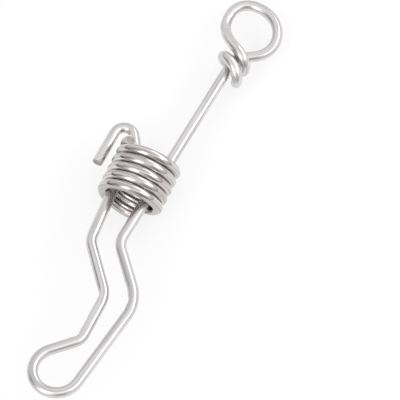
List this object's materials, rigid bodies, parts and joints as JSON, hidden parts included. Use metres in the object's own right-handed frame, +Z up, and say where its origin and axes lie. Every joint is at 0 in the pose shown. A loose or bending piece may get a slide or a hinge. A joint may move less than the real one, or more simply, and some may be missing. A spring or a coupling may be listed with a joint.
{
  "type": "bird leg ring with sliding lock coil",
  "caption": "Bent spring-wire leg ring: a wrapped eye, a shank, a kinked leg loop and a hooked free leg, locked by a close-wound coil that slides along both legs.",
  "frame": {"origin": "on the table under the middle of the ring's box, with the ring lying on its coil and on the wrap below its eye", "axes": "+Y along the shank towards the eye, +X towards the leg loop's bulge, +Z up"},
  "size_m": [0.0222, 0.0906, 0.0125],
  "materials": {
    "spring_wire": "bright drawn stainless spring wire with fine lengthwise draw lines",
    "coil_wire": "bright drawn stainless wire, close wound, with sharp reflections"
  },
  "bodies": {
    "wire_frame": {"frame_wire": "spring_wire"},
    "hook_leg": {"hook_leg": "spring_wire"},
    "lock_coil": {"lock_coil": "coil_wire"}
  },
  "joints": [
    {"name": "coil_slide", "type": "slide", "parent": "wire_frame", "child": "lock_coil", "axis": [0, 0.9967, -0.0815], "range_m": [-0.0066, 0]},
    {"name": "hook_leg_squeeze", "type": "hinge", "parent": "wire_frame", "child": "hook_leg", "pos_m": [0.00456, -0.04427, 0.00975], "axis": [0, -0.0815, -0.9967], "range_deg": [0, 1], "stiffness_Nm_per_rad": 8}
  ]
}
